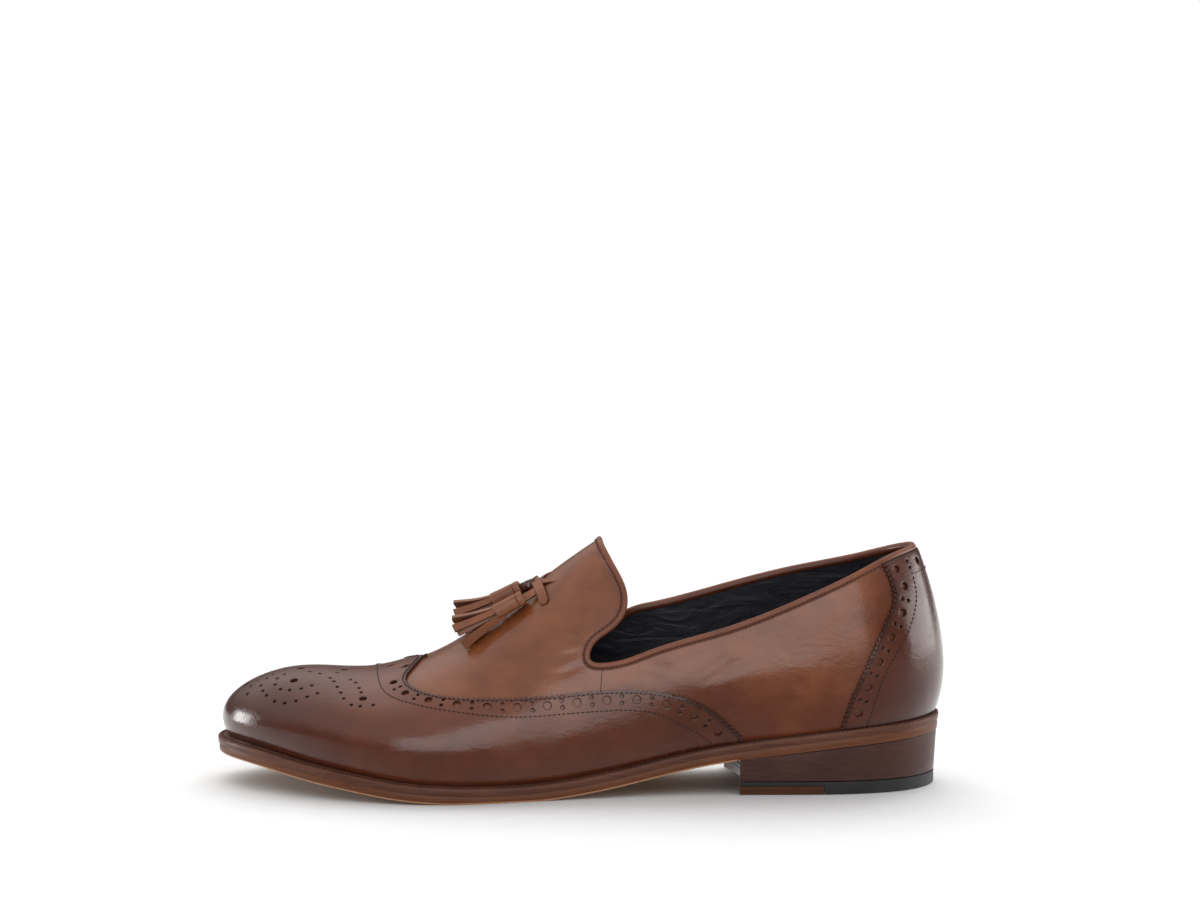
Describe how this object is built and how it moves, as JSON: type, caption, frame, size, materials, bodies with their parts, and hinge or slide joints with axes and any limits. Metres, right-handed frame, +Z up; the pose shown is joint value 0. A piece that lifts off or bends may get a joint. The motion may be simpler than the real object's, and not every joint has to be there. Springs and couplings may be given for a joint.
{
  "type": "tassel loafer",
  "caption": "Left leather loafer with wingtip brogue cap, heel counter, tassels, welted leather sole and stacked heel.",
  "frame": {"origin": "middle of the shoe's box, on the floor under the sole", "axes": "+X from toe to heel, +Y from the outer to the inner side, +Z up"},
  "size_m": [0.301, 0.1058, 0.1016],
  "materials": {
    "calf": "polished brown calf",
    "calf_burnished": "burnished dark brown calf",
    "calf_binding": "folded calf edge",
    "calf_tassel": "soft brown calf",
    "lining_leather": "dark matt lining",
    "welt_leather": "waxed dark brown edge",
    "sole_leather": "waxed reddish brown edge",
    "heel_leather": "waxed stacked layers",
    "lift_rubber": "matt black"
  },
  "bodies": {
    "root": {"outsole": "sole_leather", "welt": "welt_leather", "heel_block": "heel_leather", "heel_lift": "lift_rubber", "heel_lift_insert": "heel_leather", "insole": "lining_leather", "upper": "calf", "wing_cap": "calf_burnished", "heel_counter": "calf_burnished", "collar_binding": "calf_binding", "tassel_lace": "calf_tassel", "tassel_lateral": "calf_tassel", "tassel_medial": "calf_tassel"}
  },
  "joints": []
}
